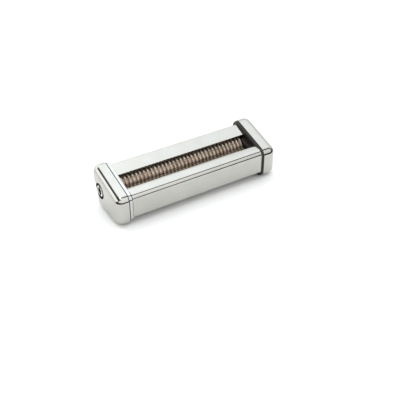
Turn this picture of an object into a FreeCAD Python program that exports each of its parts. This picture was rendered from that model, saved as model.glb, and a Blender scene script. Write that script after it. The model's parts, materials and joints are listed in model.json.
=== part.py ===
"""Cutter head of a hand-cranked pasta machine, as a parametric document in millimetres.

X runs along the two cutter rollers, -Y is the front and +Z is up. The origin is on the base, below
the middle of the head. Two wedge-shaped cups close the ends, two pressed side plates sit in them and
carry the rollers' bushes, and two bent covers leave the feed slot open between them.
"""
import FreeCAD, Part
import math
import os

import Sketcher
from FreeCAD import Placement, Rotation, Vector

# ---------------------------------------------------------------- driving dimensions

DIMENSIONS = {
    # end caps: cups with a sloping top, a stepped back and rounded edges
    "cap_centre": 0,
    "cap_half_length": 87.5,
    "left_cap_width": 12,
    "right_cap_width": 15,
    "cap_depth": 55,
    "front_height": 31.4,
    "top_slope": 14,
    "back_step_height": 27.5,
    "back_step_depth": 6.5,
    "back_step_lean": 26.5,
    "base_radius": 8.5,
    "front_top_radius": 8.6,
    "back_top_radius": 8.5,
    "step_outer_radius": 14,
    "step_inner_radius": 10,
    "cap_sheet": 1,
    "cap_edge_radius": 8,
    "crank_opening_radius": 8,
    # frame: side plates, measured from their own middle
    "frame_centre": -0.5,
    "half_span": 70.5,
    "plate_depth": 9,
    "plate_sheet": 1.2,
    "plate_gap": 0.3,
    "plate_edge_radius": 0.6,
    "left_seal_width": 1.2,
    "right_seal_width": 1.8,
    "seal_height": 0.5,
    # covers
    "cover_sheet": 1,
    "panel_front": -26.2,
    "panel_bottom": 7.5,
    "panel_lip": 3.7,
    "guard_front_height": 31.4,
    "guard_lip_height": 32.3,
    "front_lip_start": -13.2,
    "front_slot_edge": -9.9,
    "front_lip_angle": 42,
    "front_lip_radius": 7,
    "front_corner_radius": 5.7,
    "rear_slot_edge": 5.5,
    "rear_slot_height": 35.4,
    "back_panel": 21.3,
    "back_panel_top": 40.3,
    "back_panel_bottom": 18.5,
    "back_corner_radius": 2.5,
    # rollers
    "axis_height": 21.4,
    "rear_axis": 9.5,
    "axis_distance": 19,
    "roller_tilt": 14,
    "ring_count": 34,
    "ring_offset": -2,
    "ring_pitch": 4,
    "ring_width": 1.9,
    "ring_radius": 10.5,
    "ring_chamfer": 0.25,
    "core_radius": 8,
    "end_play": 0.3,
    "journal_radius": 4,
    "running_gap": 0.05,
    # end block, between the last ring and the right side plate
    "block_width": 4,
    "block_front": -16,
    "block_back": 15.5,
    "block_bottom": 11,
    "block_front_top": 26.8,
    "block_back_top": 28,
    "block_crest_y": 5,
    "block_crest": 31.5,
    # crank coupling
    "coupling_radius": 5.5,
    "coupling_reach": 16.5,
    "socket_radius": 3.5,
    "socket_depth": 12,
    "cross_slot_width": 2.2,
    "cross_slot_depth": 3.5,
    "spigot_radius": 3,
    "spigot_length": 8,
    # bushes and rings
    "bush_wall": 2,
    "bush_flange": 1.5,
    "flange_overhang": 1.2,
    "ring_groove_depth": 0.7,
    "ring_groove_width": 1.1,
    "retaining_ring_width": 1,
    "retaining_ring_height": 1.6,
    # gears
    "gear_module": 0.95,
    "gear_teeth": 20,
    "gear_width": 5,
    "gear_gap": 0.3,
    "gear_backlash": 0.14,
    "square_half": 2.8,
    "square_gap": 0.03,
    "washer_thickness": 0.8,
    "washer_radius": 5,
    "gear_screw_radius": 1.5,
    "gear_screw_length": 7,
    "gear_screw_head": 3.25,
    "gear_screw_head_height": 2,
    # combs
    "comb_sheet": 1.2,
    "comb_tooth_width": 1.5,
    "comb_tip": 8.6,
    "comb_bar_inner": 11.3,
    "comb_bar_outer": 13.8,
    "comb_angle": 45,
    # tie rods and screws
    "rod_radius": 2.5,
    "rod_screw_radius": 1.25,
    "rod_screw_length": 8,
    "rod_screw_head": 2.5,
    "rod_screw_head_height": 1.6,
    "front_rod_y": -21.7,
    "front_rod_z": 26.4,
    "upper_rod_y": 17.5,
    "upper_rod_z": 33,
    "lower_rod_y": 14,
    "lower_rod_z": 5.8,
    "screw_gap": 0.1,
    "cap_screw_inset": 2.6,
    "cap_screw_height": 8,
    "cap_screw_radius": 1.5,
    "cap_screw_length": 5,
    "cap_screw_head": 2.6,
    "cap_screw_head_height": 1.6,
    "cap_screw_slot": 0.7,
}

PRESSURE_ANGLE = math.radians(20)
FLANK_POINTS = 6

document = FreeCAD.newDocument("cutter_head")
sizes = document.addObject("Spreadsheet::Sheet", "Sizes")
for row, (alias, value) in enumerate(DIMENSIONS.items(), start=1):
    sizes.set(f"A{row}", alias)
    sizes.set(f"B{row}", str(value))
    sizes.setAlias(f"B{row}", alias)
document.recompute()

nodes = {}


def number(formula):
    """The value of a formula in the sheet's aliases."""
    result = sizes.evalExpression(formula)
    return float(getattr(result, "Value", result))


def cell(alias):
    return f"Sizes.{alias}"


# ---------------------------------------------------------------- sketches and features


def new_body(name, keep=True):
    body = document.addObject("PartDesign::Body", name)
    body.Label = name
    if keep:
        nodes[name] = body
    return body


def new_sketch(body, plane, offset=None):
    """A sketch on one of the body's own origin planes, moved along its normal by offset."""
    sketch = body.newObject("Sketcher::SketchObject", "Sketch")
    support = [item for item in body.Origin.OriginFeatures if item.Role == plane][0]
    sketch.AttachmentSupport = [(support, "")]
    sketch.MapMode = "FlatFace"
    if offset:
        sketch.setExpression("AttachmentOffset.Base.z", offset)
    return sketch


def bind(sketch, kind, places, formula):
    """Add a dimension whose value comes from the sheet."""
    index = sketch.addConstraint(Sketcher.Constraint(kind, *places, number(formula)))
    sketch.setExpression(f"Constraints[{index}]", formula)


def relate(sketch, kind, *places):
    sketch.addConstraint(Sketcher.Constraint(kind, *places))


def hold_point(sketch, geometry, point, x, y):
    """Fix one point of the geometry at x, y from the sketch's origin."""
    bind(sketch, "DistanceX", (-1, 1, geometry, point), x)
    bind(sketch, "DistanceY", (-1, 1, geometry, point), y)


def circle(sketch, x, y, radius):
    centre = Vector(number(x), number(y), 0)
    index = sketch.addGeometry(Part.Circle(centre, Vector(0, 0, 1), number(radius)))
    hold_point(sketch, index, 3, x, y)
    bind(sketch, "Radius", (index,), radius)


def corner_arc(before, corner, after, radius):
    """The start, end, centre and turning sense of the arc that rounds a corner."""
    into = (corner - before).normalize()
    out = (after - corner).normalize()
    turn = math.atan2(into.x * out.y - into.y * out.x, into.dot(out))
    reach = radius * math.tan(abs(turn) / 2)
    side = 1 if turn > 0 else -1
    start = corner - into * reach
    end = corner + out * reach
    centre = start + Vector(-into.y, into.x, 0) * radius * side
    return start, end, centre, side


def outline(sketch, corners):
    """A closed outline of straight lines. A corner is (x, y) or (x, y, radius), as formulas."""
    count = len(corners)
    points = [Vector(number(corner[0]), number(corner[1]), 0) for corner in corners]
    arcs = {}
    for index, corner in enumerate(corners):
        if len(corner) == 3:
            arcs[index] = corner_arc(points[index - 1], points[index],
                                     points[(index + 1) % count], number(corner[2]))
    lines = []
    for index in range(count):
        following = (index + 1) % count
        start = arcs[index][1] if index in arcs else points[index]
        end = arcs[following][0] if following in arcs else points[following]
        lines.append(sketch.addGeometry(Part.LineSegment(start, end)))
    for index, corner in enumerate(corners):
        line_in, line_out = lines[index - 1], lines[index]
        if index not in arcs:
            relate(sketch, "Coincident", line_in, 2, line_out, 1)
            hold_point(sketch, line_out, 1, corner[0], corner[1])
            continue
        start, end, centre, side = arcs[index]
        first, last = (start, end) if side > 0 else (end, start)
        round_corner = Part.Circle(centre, Vector(0, 0, 1), number(corner[2]))
        arc = sketch.addGeometry(Part.ArcOfCircle(
            round_corner,
            math.atan2(first.y - centre.y, first.x - centre.x),
            math.atan2(last.y - centre.y, last.x - centre.x)))
        relate(sketch, "Tangent", line_in, 2, arc, 1 if side > 0 else 2)
        relate(sketch, "Tangent", line_out, 1, arc, 2 if side > 0 else 1)
        bind(sketch, "Radius", (arc,), corner[2])
        sharp = sketch.addGeometry(Part.Point(points[index]), True)
        hold_point(sketch, sharp, 1, corner[0], corner[1])
        relate(sketch, "PointOnObject", sharp, 1, line_in)
        relate(sketch, "PointOnObject", sharp, 1, line_out)


def rectangle(sketch, left, bottom, right, top):
    outline(sketch, [(left, bottom), (right, bottom), (right, top), (left, top)])


def pad(body, sketch, length, reverse=False, symmetric=False):
    feature = body.newObject("PartDesign::Pad", "Pad")
    feature.Profile = sketch
    feature.setExpression("Length", length)
    feature.Reversed = reverse
    if symmetric:
        feature.SideType = "Symmetric"
    return feature


def pocket(body, sketch, length=None, reverse=False, symmetric=False):
    """Cut the profile away, right through where no length is given, and prove that it cut."""
    document.recompute()
    before = body.Shape.Volume
    feature = body.newObject("PartDesign::Pocket", "Pocket")
    feature.Profile = sketch
    feature.Reversed = reverse
    if symmetric:
        feature.SideType = "Symmetric"
    if length:
        feature.setExpression("Length", length)
    else:
        feature.Type = "ThroughAll"
    document.recompute()
    if body.Shape.Volume > before - 0.01:
        raise RuntimeError(f"a pocket in {body.Label} cut nothing")
    return feature


def revolve(body, sketch):
    """Turn the profile round the sketch's horizontal axis."""
    feature = body.newObject("PartDesign::Revolution", "Revolution")
    feature.Profile = sketch
    feature.ReferenceAxis = (sketch, ["H_Axis"])
    feature.Angle = 360
    return feature


def repeat_along_x(body, feature, length, occurrences):
    """Repeat a feature along X over length, counting the first one."""
    axis = [item for item in body.Origin.OriginFeatures if item.Role == "X_Axis"][0]
    pattern = body.newObject("PartDesign::LinearPattern", "Pattern")
    pattern.Originals = [feature]
    pattern.Direction = (axis, [""])
    pattern.setExpression("Length", length)
    pattern.setExpression("Occurrences", occurrences)
    body.Tip = pattern
    return pattern


def round_edges_at(body, x, radius):
    """Fillet every edge that lies in the plane at x."""
    document.recompute()
    base = body.Tip
    level = number(x)
    names = []
    for index, edge in enumerate(base.Shape.Edges, start=1):
        box = edge.BoundBox
        if abs(box.XMin - level) < 1e-4 and abs(box.XMax - level) < 1e-4:
            names.append(f"Edge{index}")
    fillet = body.newObject("PartDesign::Fillet", "Fillet")
    fillet.Base = (base, names)
    fillet.setExpression("Radius", radius)
    document.recompute()


def place(item, x="0", y="0", z="0", rotation=None):
    """Move a finished piece to its place. The coordinates are formulas."""
    item.Placement = Placement(Vector(), rotation or Rotation())
    item.setExpression("Placement.Base.x", x)
    item.setExpression("Placement.Base.y", y)
    item.setExpression("Placement.Base.z", z)


def facing(side):
    """The turn that points a piece's local +X outward on the left (-1) or right (1) side."""
    return Rotation(Vector(0, 0, 1), 180 if side < 0 else 0)


def turned(name, profile, keep=True):
    """A piece of revolution about its local X axis, from a profile of (x, radius) corners."""
    body = new_body(name, keep)
    sketch = new_sketch(body, "XY_Plane")
    outline(sketch, profile)
    revolve(body, sketch)
    return body


# ---------------------------------------------------------------- shared formulas

HALF_DEPTH = "Sizes.cap_depth / 2"
SLOPE = "Sizes.top_slope * 1 deg"
LEAN = "Sizes.back_step_lean * 1 deg"
STEP_FOOT = f"(Sizes.back_step_height - Sizes.back_step_depth / tan({LEAN}))"
LIP = "Sizes.front_lip_angle * 1 deg"
REAR_AXIS = ("Sizes.rear_axis", "Sizes.axis_height")
FRONT_AXIS = ("(Sizes.rear_axis - Sizes.axis_distance * cos(Sizes.roller_tilt * 1 deg))",
              "(Sizes.axis_height - Sizes.axis_distance * sin(Sizes.roller_tilt * 1 deg))")
PLATE_INSET = "(Sizes.cap_sheet + Sizes.plate_gap)"
CORE_HALF = "(Sizes.half_span - Sizes.end_play)"
GEAR_START = "(Sizes.plate_sheet + Sizes.bush_flange + Sizes.gear_gap)"
GEAR_END = f"({GEAR_START} + Sizes.gear_width)"
CORE_END = "(Sizes.half_span - Sizes.block_width - Sizes.end_play)"
PATTERN_LENGTH = "Sizes.ring_pitch * (Sizes.ring_count - 1)"
PATTERN_START = f"(Sizes.ring_offset - {PATTERN_LENGTH} / 2)"


def end_outline(inset):
    """The side view of an end cap, moved inwards by inset all round."""
    front = f"-{HALF_DEPTH} + {inset}"
    back = f"{HALF_DEPTH} - {inset}"
    foot = f"{HALF_DEPTH} - Sizes.back_step_depth - {inset}"
    drop = f"{inset} / cos({SLOPE})"
    lift = f"{inset} * tan({LEAN} / 2)"
    return [
        (front, inset, f"Sizes.base_radius - {inset}"),
        (foot, inset, f"Sizes.base_radius - {inset}"),
        (foot, f"{STEP_FOOT} + {lift}", f"Sizes.step_inner_radius + {inset}"),
        (back, f"Sizes.back_step_height + {lift}", f"Sizes.step_outer_radius - {inset}"),
        (back, f"Sizes.front_height + (Sizes.cap_depth - {inset}) * tan({SLOPE}) - {drop}",
         f"Sizes.back_top_radius - {inset}"),
        (front, f"Sizes.front_height + {inset} * tan({SLOPE}) - {drop}",
         f"Sizes.front_top_radius - {inset}"),
    ]


# ---------------------------------------------------------------- housing


def rounded_block(name, inset, start, end, rounded, radius, keep=True):
    """A block with the end cap's side view from local x = start to end, with its outline at
    x = rounded filleted."""
    body = new_body(name, keep)
    profile = new_sketch(body, "YZ_Plane", start)
    outline(profile, end_outline(inset))
    pad(body, profile, f"{end} - {start}")
    if number(radius) > 0:
        round_edges_at(body, rounded, radius)
    return body


def cup(name, inset, wall, depth, edge_radius, closed_at_start):
    """A pressed cup with the end cap's side view. Its floor is at local x = 0 or at x = depth."""
    if closed_at_start:
        floor, inner_floor, core_start, core_end = "0", wall, wall, depth
    else:
        inner_floor = f"({depth} - {wall})"
        floor, core_start, core_end = depth, "0", inner_floor
    body = rounded_block(name, inset, "0", depth, floor, edge_radius)
    core = rounded_block(f"{name}_core", f"({inset} + {wall})", core_start, core_end, inner_floor,
                         f"({edge_radius} - {wall})", keep=False)
    hollow = body.newObject("PartDesign::Boolean", "Hollow")
    hollow.Type = "Cut"
    hollow.setObjects([core])
    document.recompute()
    return body


def cap_width(side):
    return "Sizes.left_cap_width" if side < 0 else "Sizes.right_cap_width"


def cap_rim(side):
    return f"(Sizes.cap_centre + {side} * (Sizes.cap_half_length - {cap_width(side)}))"


def cap_screw_x(side):
    return f"({cap_rim(side)} + {side} * Sizes.cap_screw_inset)"


def bore_floor(body, y, z, radius):
    """Cut a round hole along X through the cup's floor."""
    sketch = new_sketch(body, "YZ_Plane")
    circle(sketch, y, z, radius)
    pocket(body, sketch, symmetric=True)


def bore_back(body, x, radius):
    """Cut the cap screw's hole through the lower back wall."""
    sketch = new_sketch(body, "XZ_Plane")
    circle(sketch, x, "Sizes.cap_screw_height", radius)
    pocket(body, sketch)


def end_cap(name, side):
    body = cup(name, "0", "Sizes.cap_sheet", cap_width(side), "Sizes.cap_edge_radius", side < 0)
    start = cap_rim(side)
    if side < 0:
        bore_floor(body, *REAR_AXIS, "Sizes.crank_opening_radius")
        start = "(Sizes.cap_centre - Sizes.cap_half_length)"
    bore_back(body, f"{cap_screw_x(side)} - {start}", "Sizes.cap_screw_radius + Sizes.screw_gap")
    place(body, start)


def side_plate(name, side):
    """A pan with its floor towards the rollers. Its wall slides into the end cap."""
    body = cup(name, PLATE_INSET, "Sizes.plate_sheet", "Sizes.plate_depth",
               "Sizes.plate_edge_radius", side > 0)
    rear_bore = bush_outside("Sizes.coupling_radius") if side < 0 else bush_outside(
        "Sizes.journal_radius")
    bore_floor(body, *REAR_AXIS, rear_bore)
    bore_floor(body, *FRONT_AXIS, bush_outside("Sizes.journal_radius"))
    for rod in ("front", "upper", "lower"):
        bore_floor(body, f"Sizes.{rod}_rod_y", f"Sizes.{rod}_rod_z",
                   "Sizes.rod_screw_radius + Sizes.screw_gap")
    if side < 0:
        start = "(Sizes.frame_centre - Sizes.half_span - Sizes.plate_depth)"
    else:
        start = "(Sizes.frame_centre + Sizes.half_span)"
    bore_back(body, f"{cap_screw_x(side)} - {start}", "Sizes.cap_screw_radius")
    place(body, start)


def rim_seal(name, side):
    """A black strip round the side plate's wall, against the end cap's rim."""
    body = new_body(name)
    ring = new_sketch(body, "YZ_Plane")
    outline(ring, end_outline(f"({PLATE_INSET} - Sizes.seal_height)"))
    outline(ring, end_outline(PLATE_INSET))
    width = "Sizes.left_seal_width" if side < 0 else "Sizes.right_seal_width"
    pad(body, ring, width, reverse=side > 0)
    place(body, cap_rim(side))


def cover(name, corners):
    """A bent sheet between the side plates, padded along X from its section."""
    body = new_body(name)
    sketch = new_sketch(body, "YZ_Plane")
    outline(sketch, corners)
    pad(body, sketch, "2 * Sizes.half_span")
    place(body, "Sizes.frame_centre - Sizes.half_span")


def front_cover():
    sheet = "Sizes.cover_sheet"
    front = "Sizes.panel_front"
    slot = "Sizes.front_slot_edge"
    start = "Sizes.front_lip_start"
    slot_height = f"Sizes.guard_lip_height - ({slot} - {start}) * tan({LIP})"
    lip = f"{front} + Sizes.panel_lip"
    cover("front_cover", [
        (lip, "Sizes.panel_bottom"),
        (lip, f"Sizes.panel_bottom + {sheet}"),
        (f"{front} + {sheet}", f"Sizes.panel_bottom + {sheet}"),
        (f"{front} + {sheet}", f"Sizes.guard_front_height - {sheet}",
         f"Sizes.front_corner_radius - {sheet}"),
        (f"{start} - {sheet} * tan({LIP} / 2)", f"Sizes.guard_lip_height - {sheet}",
         f"Sizes.front_lip_radius - {sheet}"),
        (f"{slot} - {sheet} * sin({LIP})", f"{slot_height} - {sheet} * cos({LIP})"),
        (slot, slot_height),
        (start, "Sizes.guard_lip_height", "Sizes.front_lip_radius"),
        (front, "Sizes.guard_front_height", "Sizes.front_corner_radius"),
        (front, "Sizes.panel_bottom", sheet),
    ])


def rear_cover():
    sheet = "Sizes.cover_sheet"
    slot = "Sizes.rear_slot_edge"
    back = "Sizes.back_panel"
    cover("rear_cover", [
        (slot, f"Sizes.rear_slot_height - {sheet}"),
        (f"{back} - {sheet}", f"Sizes.back_panel_top - {sheet}",
         f"Sizes.back_corner_radius - {sheet}"),
        (f"{back} - {sheet}", "Sizes.back_panel_bottom"),
        (back, "Sizes.back_panel_bottom"),
        (back, "Sizes.back_panel_top", "Sizes.back_corner_radius"),
        (slot, "Sizes.rear_slot_height"),
    ])


# ---------------------------------------------------------------- bushes, rods and screws


def bush_outside(journal):
    return f"({journal} + Sizes.running_gap + Sizes.bush_wall)"


def bush(name, side, axis, journal):
    """A flanged bush in the side plate, with its flange on the plate's outer face."""
    bore = f"{journal} + Sizes.running_gap"
    outside = bush_outside(journal)
    flange = f"{outside} + Sizes.flange_overhang"
    end = "Sizes.plate_sheet + Sizes.bush_flange"
    body = turned(name, [
        ("0", bore), (end, bore), (end, flange), ("Sizes.plate_sheet", flange),
        ("Sizes.plate_sheet", outside), ("0", outside)])
    place(body, f"Sizes.frame_centre + {side} * Sizes.half_span", *axis, facing(side))


def retaining_ring(name, axis, journal):
    """An open spring ring in the journal's groove, outside the left bush."""
    body = new_body(name)
    ring = new_sketch(body, "YZ_Plane")
    inner = f"{journal} - Sizes.ring_groove_depth"
    circle(ring, "0", "0", f"{inner} + Sizes.retaining_ring_height")
    circle(ring, "0", "0", inner)
    pad(body, ring, "Sizes.retaining_ring_width")
    gap = new_sketch(body, "YZ_Plane")
    rectangle(gap, "-Sizes.spigot_radius / 2", "0", "Sizes.spigot_radius / 2", f"2 * {journal}")
    pocket(body, gap, symmetric=True)
    place(body, f"Sizes.frame_centre - Sizes.half_span - {GEAR_START} - Sizes.ring_groove_width"
          " + (Sizes.ring_groove_width - Sizes.retaining_ring_width) / 2", *axis)


def screw(name, radius, length, head, head_height, keep=True):
    """A screw with its head on local +X, from the head's seat at x = 0."""
    return turned(name, [
        (f"-{length}", "0"), (head_height, "0"), (head_height, head), ("0", head),
        ("0", radius), (f"-{length}", radius)], keep)


def group(name, members):
    compound = document.addObject("Part::Compound", name)
    compound.Links = members
    compound.Label = name
    nodes[name] = compound


def tie_rods():
    """Three rods between the side plates, and the six screws that hold them."""
    hole_depth = "(Sizes.rod_screw_length - Sizes.plate_sheet + Sizes.screw_gap)"
    hole = "Sizes.rod_screw_radius"
    span = "2 * Sizes.half_span"
    screws = []
    for rod in ("front", "upper", "lower"):
        y, z = f"Sizes.{rod}_rod_y", f"Sizes.{rod}_rod_z"
        body = turned(f"{rod}_tie_rod", [
            (hole_depth, "0"), (f"{span} - {hole_depth}", "0"), (f"{span} - {hole_depth}", hole),
            (span, hole), (span, "Sizes.rod_radius"), ("0", "Sizes.rod_radius"), ("0", hole),
            (hole_depth, hole)])
        place(body, "Sizes.frame_centre - Sizes.half_span", y, z)
        for side in (-1, 1):
            member = screw(f"{rod}_rod_screw_{'left' if side < 0 else 'right'}", hole,
                           "Sizes.rod_screw_length", "Sizes.rod_screw_head",
                           "Sizes.rod_screw_head_height", keep=False)
            seat = f"Sizes.frame_centre + {side} * (Sizes.half_span + Sizes.plate_sheet)"
            place(member, seat, y, z, facing(side))
            screws.append(member)
    group("tie_rod_screws", screws)


def cap_screws():
    """One slotted screw through the lower back of each cap into the side plate's wall."""
    seat_y = f"{HALF_DEPTH} - Sizes.back_step_depth"
    members = []
    for side in (-1, 1):
        member = screw(f"cap_screw_{'left' if side < 0 else 'right'}", "Sizes.cap_screw_radius",
                       "Sizes.cap_screw_length", "Sizes.cap_screw_head",
                       "Sizes.cap_screw_head_height", keep=False)
        slot = new_sketch(member, "XY_Plane")
        rectangle(slot, "Sizes.cap_screw_head_height / 2", "-2 * Sizes.cap_screw_head",
                  "2 * Sizes.cap_screw_head_height", "2 * Sizes.cap_screw_head")
        pocket(member, slot, "Sizes.cap_screw_slot", symmetric=True)
        place(member, cap_screw_x(side), seat_y, "Sizes.cap_screw_height",
              Rotation(Vector(0, 0, 1), 90))
        members.append(member)
    group("cap_screws", members)


# ---------------------------------------------------------------- rollers


def cutter_roller(name, axis, ring_shift, left_end):
    """A ringed roller. Its right journal ends in a square for the gear. left_end gives the
    profile's corners at the left end, from the axis outwards."""
    right = "(Sizes.half_span + Sizes.plate_sheet + Sizes.bush_flange + Sizes.gear_gap"
    square_start = f"{right})"
    square_end = f"{right} + Sizes.gear_width - Sizes.screw_gap)"
    body = turned(name, left_end + [
        (f"-{CORE_HALF}", "Sizes.core_radius"), (CORE_END, "Sizes.core_radius"),
        (CORE_END, "Sizes.journal_radius"), (square_end, "Sizes.journal_radius"),
        (square_end, "0")])
    first = f"({ring_shift} + {PATTERN_START})"
    edge = f"{first} - Sizes.ring_width / 2"
    far_edge = f"{first} + Sizes.ring_width / 2"
    shoulder = "Sizes.ring_radius - Sizes.ring_chamfer"
    ring_sketch = new_sketch(body, "XY_Plane")
    outline(ring_sketch, [
        (edge, "Sizes.core_radius / 2"), (far_edge, "Sizes.core_radius / 2"), (far_edge, shoulder),
        (f"{far_edge} - Sizes.ring_chamfer", "Sizes.ring_radius"),
        (f"{edge} + Sizes.ring_chamfer", "Sizes.ring_radius"), (edge, shoulder)])
    ring = revolve(body, ring_sketch)
    repeat_along_x(body, ring, PATTERN_LENGTH, "Sizes.ring_count")
    flats = new_sketch(body, "YZ_Plane", square_end)
    circle(flats, "0", "0", "2 * Sizes.journal_radius")
    half = "Sizes.square_half"
    rectangle(flats, f"-{half}", f"-{half}", half, half)
    pocket(body, flats, f"{square_end} - {square_start}")
    tapped = new_sketch(body, "YZ_Plane", square_end)
    circle(tapped, "0", "0", "Sizes.gear_screw_radius")
    pocket(body, tapped, "Sizes.gear_screw_length")
    place(body, "Sizes.frame_centre", *axis)


def rear_cutter_roller():
    """The driven-by-hand roller. Its left end has a bore for the crank coupling's spigot."""
    bore_end = f"-{CORE_HALF} + Sizes.spigot_length + Sizes.screw_gap"
    cutter_roller("rear_cutter_roller", REAR_AXIS, "Sizes.ring_pitch / 4", [
        (bore_end, "0"), (bore_end, "Sizes.spigot_radius"),
        (f"-{CORE_HALF}", "Sizes.spigot_radius")])


def front_cutter_roller():
    """The follower. Its left journal carries a retaining ring."""
    journal = "Sizes.journal_radius"
    groove = f"{journal} - Sizes.ring_groove_depth"
    groove_start = f"-Sizes.half_span - {GEAR_START}"
    groove_end = f"{groove_start} - Sizes.ring_groove_width"
    tip = f"{groove_end} - Sizes.retaining_ring_width"
    cutter_roller("front_cutter_roller", FRONT_AXIS, "-Sizes.ring_pitch / 4", [
        (tip, "0"), (tip, journal), (groove_end, journal), (groove_end, groove),
        (groove_start, groove), (groove_start, journal), (f"-{CORE_HALF}", journal)])


def crank_coupling():
    """The hollow journal that takes the crank, pressed into the rear roller by its spigot."""
    outside = "Sizes.coupling_radius"
    groove = f"{outside} - Sizes.ring_groove_depth"
    tip = f"-{CORE_HALF} - Sizes.coupling_reach - Sizes.end_play"
    groove_start = f"-Sizes.half_span - {GEAR_START}"
    groove_end = f"{groove_start} - Sizes.ring_groove_width"
    bottom = f"{tip} + Sizes.socket_depth"
    body = turned("crank_coupling", [
        (bottom, "0"), (bottom, "Sizes.socket_radius"), (tip, "Sizes.socket_radius"),
        (tip, outside), (groove_end, outside), (groove_end, groove), (groove_start, groove),
        (groove_start, outside), (f"-{CORE_HALF}", outside),
        (f"-{CORE_HALF}", "Sizes.spigot_radius"),
        (f"-{CORE_HALF} + Sizes.spigot_length", "Sizes.spigot_radius"),
        (f"-{CORE_HALF} + Sizes.spigot_length", "0")])
    slot = new_sketch(body, "XY_Plane")
    rectangle(slot, f"{tip} - 1", "-Sizes.cross_slot_width / 2", f"{tip} + Sizes.cross_slot_depth",
              "Sizes.cross_slot_width / 2")
    pocket(body, slot, f"4 * {outside}", symmetric=True)
    place(body, "Sizes.frame_centre", *REAR_AXIS)


def end_block():
    """A black block on the right side plate that closes the slot beyond the last rings. Both
    rollers' journals run through it."""
    body = new_body("end_block")
    section = new_sketch(body, "YZ_Plane")
    outline(section, [
        ("Sizes.block_front", "Sizes.block_bottom"), ("Sizes.block_back", "Sizes.block_bottom"),
        ("Sizes.block_back", "Sizes.block_back_top"),
        ("Sizes.block_crest_y", "Sizes.block_crest"),
        ("Sizes.block_front", "Sizes.block_front_top")])
    for axis in (REAR_AXIS, FRONT_AXIS):
        circle(section, *axis, "Sizes.journal_radius + Sizes.end_play")
    pad(body, section, "Sizes.block_width", reverse=True)
    place(body, "Sizes.frame_centre + Sizes.half_span")


# ---------------------------------------------------------------- gears


def involute_flank(base, outer, root, half_angle):
    """Points of one tooth flank from root to tip. half_angle is the tooth's at the base circle."""
    reach = math.sqrt((outer / base) ** 2 - 1)
    points = [Vector(root * math.cos(half_angle), root * math.sin(half_angle), 0)]
    for step in range(FLANK_POINTS + 1):
        roll = reach * step / FLANK_POINTS
        radius = base * math.sqrt(1 + roll ** 2)
        angle = half_angle - (roll - math.atan(roll))
        points.append(Vector(radius * math.cos(angle), radius * math.sin(angle), 0))
    return points


def gear_blank(phase):
    """A spur gear with a square bore, from z = 0 to its width. Its first tooth is turned by phase
    from local +X, against which the bore stays square."""
    module = number(cell("gear_module"))
    teeth = int(number(cell("gear_teeth")))
    pitch_radius = module * teeth / 2
    outer = pitch_radius + module
    root = pitch_radius - 1.25 * module
    base = pitch_radius * math.cos(PRESSURE_ANGLE)
    thickness = math.pi * module / 2 - number(cell("gear_backlash"))
    involute = math.tan(PRESSURE_ANGLE) - PRESSURE_ANGLE
    half_angle = thickness / (2 * pitch_radius) + involute
    flank = involute_flank(base, outer, root, half_angle)
    edges = []
    previous = None
    for tooth in range(teeth):
        turn = Rotation(Vector(0, 0, 1), phase + 360 * tooth / teeth)
        rising = [turn.multVec(Vector(point.x, -point.y, 0)) for point in flank]
        falling = [turn.multVec(point) for point in reversed(flank)]
        loop = rising + falling
        if previous:
            edges.append(Part.makeLine(previous, loop[0]))
        edges += [Part.makeLine(start, end) for start, end in zip(loop, loop[1:])]
        previous = loop[-1]
    edges.append(Part.makeLine(previous, edges[0].Vertexes[0].Point))
    width = number(cell("gear_width"))
    blank = Part.Face(Part.Wire(edges)).extrude(Vector(0, 0, width))
    side = 2 * (number(cell("square_half")) + number(cell("square_gap")))
    bore = Part.makeBox(side, side, width, Vector(-side / 2, -side / 2, 0))
    return blank.cut(bore)


def gear(name, axis, phase):
    """Gear teeth are involutes, which the sketches can't hold."""
    feature = document.addObject("Part::Feature", name)
    feature.Shape = gear_blank(phase)
    feature.Label = name
    nodes[name] = feature
    start = f"Sizes.frame_centre + Sizes.half_span + {GEAR_START}"
    place(feature, start, *axis, Rotation(Vector(0, 1, 0), 90))


def gear_fixings(name, axis):
    """The washer and screw that hold a gear on its roller."""
    seat = f"Sizes.frame_centre + Sizes.half_span + {GEAR_END}"
    washer = turned(f"{name}_washer", [
        ("0", "Sizes.gear_screw_radius + Sizes.screw_gap"), ("0", "Sizes.washer_radius"),
        ("Sizes.washer_thickness", "Sizes.washer_radius"),
        ("Sizes.washer_thickness", "Sizes.gear_screw_radius + Sizes.screw_gap")])
    place(washer, seat, *axis)
    fixing = screw(f"{name}_screw", "Sizes.gear_screw_radius", "Sizes.gear_screw_length",
                   "Sizes.gear_screw_head", "Sizes.gear_screw_head_height")
    place(fixing, f"{seat} + Sizes.washer_thickness", *axis)


# ---------------------------------------------------------------- combs


def comb(name, axis, groove_shift, tilt):
    """A toothed strip whose fingers stand in the roller's grooves. In the body's own frame the
    roller's axis is the X axis and the strip lies on -Y."""
    body = new_body(name)
    bar = new_sketch(body, "XY_Plane")
    rectangle(bar, "-Sizes.half_span", "-Sizes.comb_bar_outer", "Sizes.half_span",
              "-Sizes.comb_bar_inner")
    pad(body, bar, "Sizes.comb_sheet", symmetric=True)
    finger = new_sketch(body, "XY_Plane")
    first = f"({groove_shift} + {PATTERN_START} + Sizes.ring_pitch / 2)"
    rectangle(finger, f"{first} - Sizes.comb_tooth_width / 2", "-Sizes.comb_bar_outer",
              f"{first} + Sizes.comb_tooth_width / 2", "-Sizes.comb_tip")
    tooth = pad(body, finger, "Sizes.comb_sheet", symmetric=True)
    repeat_along_x(body, tooth, f"{PATTERN_LENGTH} - Sizes.ring_pitch", "Sizes.ring_count - 1")
    place(body, "Sizes.frame_centre", *axis, Rotation(Vector(1, 0, 0), tilt))


# ---------------------------------------------------------------- assembly


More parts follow.
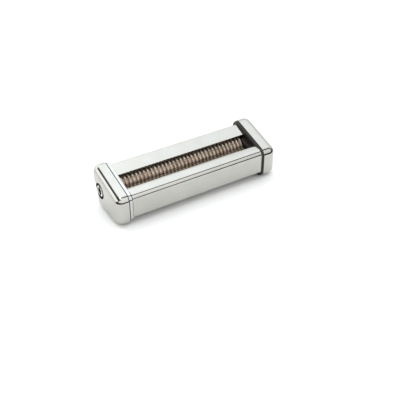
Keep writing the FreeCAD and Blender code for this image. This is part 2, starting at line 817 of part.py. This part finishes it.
def build():
    half_tooth = 180 / number(cell("gear_teeth"))
    tilt = number(cell("roller_tilt"))
    comb_angle = number(cell("comb_angle"))
    for side, word in ((-1, "left"), (1, "right")):
        end_cap(f"{word}_end_cap", side)
        rim_seal(f"{word}_rim_seal", side)
        side_plate(f"{word}_side_plate", side)
        rear_journal = "Sizes.coupling_radius" if side < 0 else "Sizes.journal_radius"
        bush(f"{word}_rear_bush", side, REAR_AXIS, rear_journal)
        bush(f"{word}_front_bush", side, FRONT_AXIS, "Sizes.journal_radius")
    front_cover()
    rear_cover()
    tie_rods()
    cap_screws()
    comb("front_comb", FRONT_AXIS, "-Sizes.ring_pitch / 4", comb_angle)
    comb("rear_comb", REAR_AXIS, "Sizes.ring_pitch / 4", 180 - comb_angle)
    rear_cutter_roller()
    front_cutter_roller()
    end_block()
    crank_coupling()
    retaining_ring("rear_retaining_ring", REAR_AXIS, "Sizes.coupling_radius")
    retaining_ring("front_retaining_ring", FRONT_AXIS, "Sizes.journal_radius")
    gear("drive_gear", REAR_AXIS, tilt - 90)
    gear("driven_gear", FRONT_AXIS, tilt + 90 + half_tooth)
    gear_fixings("drive_gear", REAR_AXIS)
    gear_fixings("driven_gear", FRONT_AXIS)


def check():
    document.recompute()
    for item in document.Objects:
        if "Invalid" in item.State or "Error" in item.State:
            raise RuntimeError(f"{item.Label} failed: {item.State}")
    for name, item in nodes.items():
        if item.Shape.isNull() or not item.Shape.isValid() or not item.Shape.Solids:
            raise RuntimeError(f"{name} has no valid solid")


def export():
    os.makedirs("parts", exist_ok=True)
    for name, item in nodes.items():
        item.Shape.exportStep(f"parts/{name}.step")
    print(len(nodes), "nodes written")


build()
check()
export()
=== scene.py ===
"""Looks of the chromed pasta cutter head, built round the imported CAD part. Lengths are in metres."""
import json
import math

import bpy
from mathutils import Matrix, Vector

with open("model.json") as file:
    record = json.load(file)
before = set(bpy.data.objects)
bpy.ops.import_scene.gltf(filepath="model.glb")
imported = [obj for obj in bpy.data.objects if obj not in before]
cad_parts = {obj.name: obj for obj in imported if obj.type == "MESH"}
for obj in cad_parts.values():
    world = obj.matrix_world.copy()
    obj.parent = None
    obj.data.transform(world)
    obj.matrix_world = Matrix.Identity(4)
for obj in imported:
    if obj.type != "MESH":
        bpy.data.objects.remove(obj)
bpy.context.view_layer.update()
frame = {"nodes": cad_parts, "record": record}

# sockets of a colour Mix node
MIX_FACTOR, MIX_FIRST, MIX_SECOND, MIX_RESULT = 0, 6, 7, 2

FLOOR_HALF = 4
FLAG_RADIUS = 0.22
FLAG_HEIGHT = 0.05
FLAG_STEPS = 96
SKY_STRENGTH = 1.93
LENS = 66.8
SENSOR_WIDTH = 36
CAMERA_AZIMUTH = -31.29
CAMERA_ELEVATION = 36.34
CAMERA_TARGET = (0.0012, -0.0233, -0.0022)
CAMERA_DISTANCE = 0.7163


# ---------------------------------------------------------------- node helpers


def new_material(name):
    material = bpy.data.materials.new(name)
    material.use_nodes = True
    tree = material.node_tree
    shader = tree.nodes["Principled BSDF"]
    return material, tree, shader


def position(tree, scale):
    """The surface point in the part's own frame, stretched by scale."""
    place = tree.nodes.new("ShaderNodeTexCoord")
    mapping = tree.nodes.new("ShaderNodeMapping")
    mapping.inputs["Scale"].default_value = scale
    tree.links.new(place.outputs["Object"], mapping.inputs["Vector"])
    return mapping.outputs["Vector"]


def noise(tree, vector, scale, detail=3.0, roughness=0.5):
    node = tree.nodes.new("ShaderNodeTexNoise")
    node.inputs["Scale"].default_value = scale
    node.inputs["Detail"].default_value = detail
    node.inputs["Roughness"].default_value = roughness
    tree.links.new(vector, node.inputs["Vector"])
    return node.outputs["Fac"]


def ramp(tree, factor, stops):
    """Colours or greys along a factor. A stop is (place, colour) or (place, grey)."""
    node = tree.nodes.new("ShaderNodeValToRGB")
    elements = node.color_ramp.elements
    while len(elements) < len(stops):
        elements.new(0.5)
    for element, (place, colour) in zip(elements, stops):
        element.position = place
        grey = isinstance(colour, (int, float))
        element.color = (colour, colour, colour, 1) if grey else (*colour, 1)
    tree.links.new(factor, node.inputs["Fac"])
    return node.outputs["Color"]


def bump(tree, shader, height, distance):
    """Raise the surface by height, which is up to distance in metres."""
    node = tree.nodes.new("ShaderNodeBump")
    node.inputs["Distance"].default_value = distance
    node.inputs["Strength"].default_value = 1.0
    tree.links.new(height, node.inputs["Height"])
    tree.links.new(node.outputs["Normal"], shader.inputs["Normal"])


def metal(name, colour, dark, grain, tone_scale, roughness, bump_height, metallic=1.0):
    """Bare or plated metal. Its tone and gloss vary slowly, and grain stretches its fine marks."""
    material, tree, shader = new_material(name)
    shader.inputs["Metallic"].default_value = metallic
    slow = noise(tree, position(tree, (1, 1, 1)), tone_scale)
    tree.links.new(ramp(tree, slow, [(0.3, dark), (0.7, colour)]), shader.inputs["Base Color"])
    marks = noise(tree, position(tree, grain), 1.0, 4.0, 0.6)
    tree.links.new(ramp(tree, marks, [(0.25, roughness[0]), (0.75, roughness[1])]),
                   shader.inputs["Roughness"])
    bump(tree, shader, marks, bump_height)
    return material


def painted_shade_black(name, dark, dusty, specular, roughness):
    """A black surface, slightly uneven and dusty. Its black is painted shade."""
    material, tree, shader = new_material(name)
    shader.inputs["Specular IOR Level"].default_value = specular
    dust = noise(tree, position(tree, (1, 1, 1)), 500)
    tree.links.new(ramp(tree, dust, [(0.35, dark), (0.75, dusty)]), shader.inputs["Base Color"])
    tree.links.new(ramp(tree, dust, [(0.3, roughness[0]), (0.7, roughness[1])]),
                   shader.inputs["Roughness"])
    bump(tree, shader, dust, 0.00001)
    return material


# ---------------------------------------------------------------- materials

chrome = metal("chrome", (0.50, 0.492, 0.462), (0.465, 0.457, 0.425), (700, 700, 700), 60,
               (0.04, 0.12), 0.0000015)
plate_chrome = metal("plate_chrome", (0.56, 0.565, 0.56), (0.50, 0.505, 0.50), (500, 500, 500), 80,
                     (0.07, 0.16), 0.000002)
bronze = metal("bush_bronze", (0.55, 0.36, 0.19), (0.38, 0.24, 0.12), (900, 900, 900), 300,
               (0.35, 0.55), 0.00001)
rod_steel = metal("rod_steel", (0.52, 0.52, 0.51), (0.42, 0.42, 0.42), (40, 2500, 2500), 90,
                  (0.22, 0.38), 0.00001)
screw_steel = metal("screw_steel", (0.60, 0.60, 0.60), (0.48, 0.48, 0.47), (1500, 1500, 1500), 200,
                    (0.2, 0.35), 0.000006)
comb_steel = metal("comb_steel", (0.50, 0.49, 0.48), (0.38, 0.37, 0.36), (2500, 300, 300), 120,
                   (0.25, 0.42), 0.000006)
roller_steel = metal("roller_steel", (0.54, 0.45, 0.37), (0.33, 0.265, 0.21), (4000, 150, 150), 180,
                     (0.2, 0.34), 0.000008, metallic=0.72)
coupling_steel = metal("coupling_steel", (0.66, 0.65, 0.63), (0.54, 0.53, 0.51), (3000, 300, 300),
                       160, (0.18, 0.32), 0.000006)
spring_steel = metal("spring_steel", (0.16, 0.16, 0.18), (0.09, 0.09, 0.10), (1200, 1200, 1200), 250,
                     (0.3, 0.5), 0.000006)
gear_steel = metal("gear_steel", (0.42, 0.42, 0.42), (0.32, 0.31, 0.30), (300, 1800, 1800), 200,
                   (0.28, 0.45), 0.000008)


# Painted shade: the seals and the end block are black to stand for the shade in the seams between the
# caps and the body and at the right end. Their dusty unevenness is their own.
seal_black = painted_shade_black("seal_black", (0.022, 0.020, 0.016), (0.045, 0.042, 0.035), 0.3,
                          (0.55, 0.75))
block_black = painted_shade_black("block_black", (0.010, 0.008, 0.006), (0.022, 0.017, 0.013), 0.4,
                           (0.3, 0.5))

finishes = {
    "chrome": chrome,
    "plate_chrome": plate_chrome,
    "bush_bronze": bronze,
    "rod_steel": rod_steel,
    "screw_steel": screw_steel,
    "comb_steel": comb_steel,
    "roller_steel": roller_steel,
    "coupling_steel": coupling_steel,
    "spring_steel": spring_steel,
    "gear_steel": gear_steel,
    "seal_black": seal_black,
    "block_black": block_black,
}

for part in frame["record"]["subparts"]:
    slots = frame["nodes"][part["node"]].material_slots
    slots[0].material = finishes[part["material_slot"]]

# ---------------------------------------------------------------- floor, flags and light


def floor_material():
    material, tree, shader = new_material("pale_floor")
    shader.inputs["Roughness"].default_value = 0.9
    shader.inputs["Specular IOR Level"].default_value = 0.1
    tone = noise(tree, position(tree, (1, 1, 1)), 1.5, 2.0)
    tree.links.new(ramp(tree, tone, [(0.3, (0.86, 0.858, 0.845)), (0.7, (0.88, 0.878, 0.866))]),
                   shader.inputs["Base Color"])
    return material


def add_mesh(name, corners, faces, material):
    """A mesh object of the surroundings."""
    mesh = bpy.data.meshes.new(name)
    mesh.from_pydata(corners, [], faces)
    mesh.materials.append(material)
    item = bpy.data.objects.new(name, mesh)
    bpy.context.scene.collection.objects.link(item)
    return item


floor = add_mesh("floor", [(x * FLOOR_HALF, y * FLOOR_HALF, 0)
                           for x, y in ((-1, -1), (1, -1), (1, 1), (-1, 1))],
                 [(0, 1, 2, 3)], floor_material())


def dark_band(radius, bottom, top):
    """A low black half ring round the front, as a photographer's flag. Only reflections see it."""
    material, tree, shader = new_material("black_flag")
    shader.inputs["Roughness"].default_value = 1.0
    shader.inputs["Specular IOR Level"].default_value = 0.0
    shade = noise(tree, position(tree, (1, 1, 1)), 3.0)
    tree.links.new(ramp(tree, shade, [(0.3, 0.004), (0.7, 0.008)]), shader.inputs["Base Color"])
    ring = []
    for height in (bottom, top):
        for step in range(FLAG_STEPS):
            angle = math.pi * (1 + step / (FLAG_STEPS - 1))
            ring.append((radius * math.cos(angle), radius * math.sin(angle), height))
    faces = [(i, i + 1, FLAG_STEPS + i + 1, FLAG_STEPS + i) for i in range(FLAG_STEPS - 1)]
    item = add_mesh("flag", ring, faces, material)
    item.visible_camera = False
    item.visible_diffuse = False
    item.visible_shadow = False


dark_band(FLAG_RADIUS, 0.0, FLAG_HEIGHT)

# The sky: bright above, dim low at the back right, black high on the left, with a black bar in front
# of the zenith. The bar draws the dark lines on the chrome's rounded corners.
world = bpy.data.worlds.new("studio")
bpy.context.scene.world = world
world.use_nodes = True
tree = world.node_tree
direction = tree.nodes.new("ShaderNodeTexCoord").outputs["Generated"]
split = tree.nodes.new("ShaderNodeSeparateXYZ")
tree.links.new(direction, split.inputs["Vector"])


def along(axis, stops):
    """Greys along one axis of the sky, from -1 at place 0 to +1 at place 1."""
    reach = tree.nodes.new("ShaderNodeMapRange")
    reach.inputs["From Min"].default_value = -1
    tree.links.new(split.outputs[axis], reach.inputs["Value"])
    return ramp(tree, reach.outputs["Result"], stops)


def times(first, second):
    """The product of two colours."""
    product = tree.nodes.new("ShaderNodeMix")
    product.data_type = "RGBA"
    product.blend_type = "MULTIPLY"
    product.inputs[MIX_FACTOR].default_value = 1.0
    tree.links.new(first, product.inputs[MIX_FIRST])
    tree.links.new(second, product.inputs[MIX_SECOND])
    return product.outputs[MIX_RESULT]


def blend(factor, first, second):
    """The first colour where factor is black, the second where it is white."""
    mix = tree.nodes.new("ShaderNodeMix")
    mix.data_type = "RGBA"
    tree.links.new(factor, mix.inputs[MIX_FACTOR])
    tree.links.new(first, mix.inputs[MIX_FIRST])
    tree.links.new(second, mix.inputs[MIX_SECOND])
    return mix.outputs[MIX_RESULT]


high = (0.955, 1.0, 1.03)
front_sky = along("Z", [(0.0, 0.35), (0.5, 0.45), (0.56, 0.7), (0.78, 0.75), (1.0, high)])
back_sky = along("Z", [(0.0, 0.3), (0.49, 0.35), (0.505, 0.5), (0.53, 0.5), (0.56, 0.72),
                       (0.79, 0.75), (0.825, high), (1.0, high)])
left_sky = along("Z", [(0.0, 0.3), (0.49, 0.35), (0.505, 0.4), (0.53, 0.4), (0.56, 0.95),
                       (1.0, high)])
back_sky = blend(along("X", [(0.0, 0.0), (0.5, 0.0), (0.6, 1.0), (1.0, 1.0)]), left_sky, back_sky)
sky = blend(along("Y", [(0.0, 0.0), (0.42, 0.0), (0.52, 1.0), (1.0, 1.0)]), front_sky, back_sky)
bar = along("Y", [(0.0, 1.0), (0.265, 1.0), (0.29, 0.02), (0.37, 0.02), (0.395, 1.0)])
high_left = along("X", [(0.0, 0.05), (0.27, 0.05), (0.33, 1.0), (1.0, 1.0)])
plain = along("X", [(0.0, 1.0), (0.66, 1.0), (0.76, 0.82), (1.0, 0.78)])
side = blend(along("Z", [(0.0, 0.0), (0.77, 0.0), (0.80, 1.0), (1.0, 1.0)]), plain,
             times(plain, high_left))
background = tree.nodes["Background"]
background.inputs["Strength"].default_value = SKY_STRENGTH
tree.links.new(times(times(sky, bar), side), background.inputs["Color"])


def soft_light(name, place, target, width, length, power, in_reflections=True):
    """A rectangular area light aimed at target."""
    lamp = bpy.data.lights.new(name, "AREA")
    lamp.shape = "RECTANGLE"
    lamp.size = width
    lamp.size_y = length
    lamp.energy = power
    item = bpy.data.objects.new(name, lamp)
    bpy.context.scene.collection.objects.link(item)
    item.location = place
    aim = Vector(target) - Vector(place)
    item.rotation_euler = aim.to_track_quat("-Z", "Y").to_euler()
    item.visible_camera = False
    item.visible_glossy = in_reflections


soft_light("overhead", (0, 0, 2.0), (0, 0, 0), 3.0, 3.0, 15.0, in_reflections=False)
soft_light("key", (-0.5, -0.4, 1.3), (0, 0, 0.02), 0.5, 0.5, 1.5)

bpy.context.scene.view_settings.view_transform = "Standard"

# ---------------------------------------------------------------- camera

lens = bpy.data.cameras.new("camera")
lens.lens = LENS
lens.sensor_width = SENSOR_WIDTH
lens.clip_start = 0.01
camera = bpy.data.objects.new("camera", lens)
bpy.context.scene.collection.objects.link(camera)
azimuth, elevation = math.radians(CAMERA_AZIMUTH), math.radians(CAMERA_ELEVATION)
back = Vector((math.sin(azimuth) * math.cos(elevation), -math.cos(azimuth) * math.cos(elevation),
               math.sin(elevation)))
right = Vector((math.cos(azimuth), math.sin(azimuth), 0))
up = back.cross(right)
place = Vector(CAMERA_TARGET) + back * CAMERA_DISTANCE
camera.matrix_world = Matrix.LocRotScale(
    place, Matrix((right, up, back)).transposed().to_quaternion(), None)
bpy.context.scene.camera = camera
